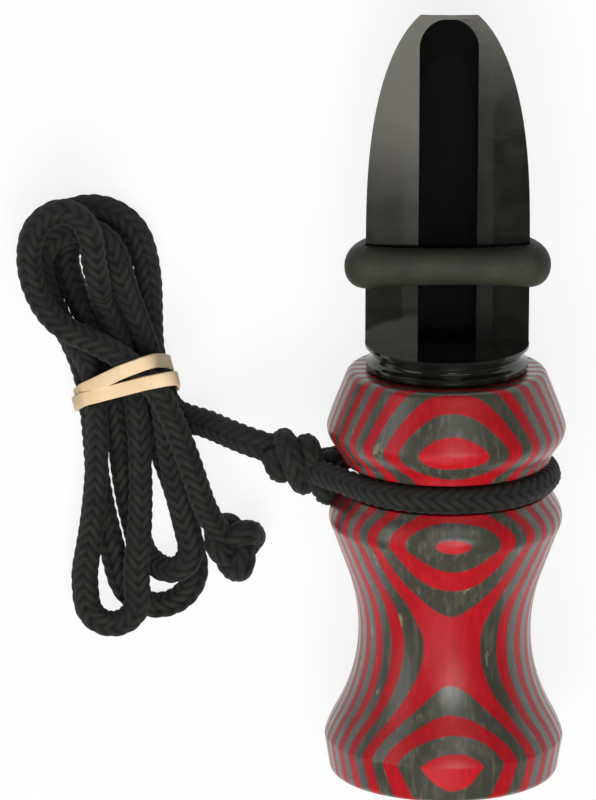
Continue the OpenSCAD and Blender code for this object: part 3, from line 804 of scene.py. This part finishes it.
def taut_ring(circles, grow, count):
    """The line that a taut band takes round strands, as places across and up, from the bottom."""
    ways = np.linspace(-math.pi / 2, 1.5 * math.pi, 721)
    ring = []
    for a in ways:
        n = (math.cos(a), math.sin(a))
        x, z, r = max(circles, key=lambda q: q[0] * n[0] + q[1] * n[1] + q[2])
        ring.append((x + (r + grow) * n[0], z + (r + grow) * n[1]))
    ring = np.array(ring)
    return even_line(ring, np.linalg.norm(np.diff(ring, axis=0), axis=1).sum() / count)


def tie_place(flat, along, lean_to):
    """Stands a ring up across the hank, that far along it, a little aslant."""
    x, z = flat[:, 0], flat[:, 1]
    return np.stack((*on_hank(x, along + tie_lean * (z - tie_level), lean_to), z), axis=1)


turns = 120
upper_turn = tie_place(taut_ring(tie_circles + upper_top, 0.24, turns), 1.05, 21)[:turns]
lower_turn = tie_place(taut_ring(tie_circles + lower_top, 0.46, turns), -0.75, 12)[:turns]
strip_line = []
for k in range(2 * turns):
    place = k % turns / turns
    near = place if place < 0.5 else place - 1
    passing = ease(min(1, max(0, (near + 0.1) / 0.2)))
    first = k < turns / 2 or k >= 1.5 * turns
    share = 1 - passing if first else passing
    spot = upper_turn[k % turns] * (1 - share) + lower_turn[k % turns] * share
    bump = math.exp(-(near / 0.06) ** 2) * 0.26
    strip_line.append(spot + (0, 0, bump if first else -bump))
strip_line = np.array(strip_line)
strip_way = np.roll(strip_line, -1, 0) - np.roll(strip_line, 1, 0)
strip_way /= np.linalg.norm(strip_way, axis=1)[:, None]
strip_turn = math.radians(13)
strip_wide = np.array((-math.sin(strip_turn), math.cos(strip_turn), 0)) + 0 * strip_way
strip_wide -= strip_way * (strip_wide * strip_way).sum(1)[:, None]
strip_wide /= np.linalg.norm(strip_wide, axis=1)[:, None]
strip_out = np.cross(strip_way, strip_wide)
edge = [(0.66, -0.22), (0.79, -0.18), (0.84, -0.08), (0.84, 0.08), (0.79, 0.18), (0.66, 0.22)]
edge += [(-a, b) for a, b in reversed(edge)]
skin = [[s + w * a + o * b for a, b in edge] for s, w, o in zip(strip_line, strip_wide, strip_out)]
n, m = len(skin), len(edge)
strip_faces = [(i * m + k, (i + 1) % n * m + k, (i + 1) % n * m + (k + 1) % m, i * m + (k + 1) % m)
               for i in range(n) for k in range(m)]
strip_mesh = bpy.data.meshes.new("latex_band")
strip_mesh.from_pydata([tuple(v * mm for v in p) for ring in skin for p in ring], [], strip_faces)
latex_band = bpy.data.objects.new("latex_band", strip_mesh)
bpy.context.collection.objects.link(latex_band)
bpy.ops.object.select_all(action="DESELECT")
latex_band.select_set(True)
bpy.context.view_layer.objects.active = latex_band
bpy.ops.object.mode_set(mode="EDIT")
bpy.ops.mesh.select_all(action="SELECT")
bpy.ops.mesh.normals_make_consistent(inside=False)
bpy.ops.object.mode_set(mode="OBJECT")
bpy.ops.object.shade_smooth_by_angle(angle=math.radians(40))
tan_latex = rubber("tan latex", srgb(238, 204, 158), srgb(250, 224, 182), 0.5, 220, 2600, 0.03 * mm)
latex_band.data.materials.append(tan_latex)
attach(latex_band, "lanyard")
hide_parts("hank_band")

# ---- Table and light
# A plain white table and soft studio light: a soft box above, a fill that only lights, and two boxes,
# beyond the tip and at the lanyard's side, that only show as reflections; a pale room all round.
bpy.ops.object.select_all(action="DESELECT")
bpy.ops.mesh.primitive_plane_add(size=6, location=(0, 0, -0.05 * mm))
table = bpy.context.object
table.name = "table"
white, shader, add, join = new_material("white table")
shader.inputs["Roughness"].default_value = 0.9
shader.inputs["Specular IOR Level"].default_value = 0.1
glow = add("ShaderNodeEmission", in_1=1.0)
rays = add("ShaderNodeLightPath")
dimmed, pale = (0.32, 0.32, 0.32, 1), (0.92, 0.92, 0.92, 1)
tones = blend_colours(add, join, rays.outputs["Is Camera Ray"], dimmed, pale)
join(tones, shader.inputs["Base Color"])
seen = sum_up(add, join, "MAXIMUM", rays.outputs["Is Camera Ray"], rays.outputs["Is Glossy Ray"])
seen = sum_up(add, join, "MAXIMUM", seen, rays.outputs["Is Transmission Ray"])
seen = sum_up(add, join, "MULTIPLY", seen, 0.86)
both = add("ShaderNodeMixShader")
join(seen, both.inputs[0])
join(shader.outputs[0], both.inputs[1])
join(glow.outputs[0], both.inputs[2])
join(both.outputs[0], white.node_tree.nodes["Material Output"].inputs[0])
table.data.materials.append(white)

world = bpy.context.scene.world or bpy.data.worlds.new("room")
bpy.context.scene.world = world
world.use_nodes = True
tree = world.node_tree
tree.nodes.clear()
sky = tree.nodes.new("ShaderNodeBackground")
out = tree.nodes.new("ShaderNodeOutputWorld")
rays = tree.nodes.new("ShaderNodeLightPath")
way = tree.nodes.new("ShaderNodeTexCoord")
part = tree.nodes.new("ShaderNodeSeparateXYZ")
dim = tree.nodes.new("ShaderNodeMapRange")
dim.inputs[1].default_value, dim.inputs[2].default_value = 0.3, 0.85
dim.inputs[3].default_value, dim.inputs[4].default_value = 0.18, 0.08
whole = tree.nodes.new("ShaderNodeMath")
whole.operation = "MAXIMUM"
tree.links.new(way.outputs["Generated"], part.inputs[0])
tree.links.new(part.outputs["Z"], dim.inputs[0])
tree.links.new(dim.outputs[0], whole.inputs[0])
tree.links.new(rays.outputs["Is Camera Ray"], whole.inputs[1])
tree.links.new(whole.outputs[0], sky.inputs["Strength"])
tree.links.new(sky.outputs[0], out.inputs[0])

for name, spot, turned, wide, tall, watts, shaded, mirrored in (
        ("key_box", (0.122, 0.046, 0.75), (0, 0, -34), 0.35, 0.307, 1.42, True, True),
        ("top_box", (0.22, 0.62, 0.76), (0, 0, 0), 0.7, 0.34, 1.0, False, True),
        ("fill_box", (-0.12, -0.45, 0.85), (28, 0, 0), 0.7, 0.7, 8.6, True, False),
        ("side_box", (-0.75, 0.2, 0.53), (0, -60, 0), 0.45, 0.9, 1.6, False, True)):
    bpy.ops.object.light_add(type="AREA", location=spot, rotation=[math.radians(v) for v in turned])
    box = bpy.context.object
    box.name = name
    box.data.shape = "RECTANGLE"
    box.data.size, box.data.size_y = wide, tall
    box.data.energy = watts
    box.visible_diffuse, box.visible_glossy = shaded, mirrored

bpy.context.scene.view_settings.view_transform = "Standard"
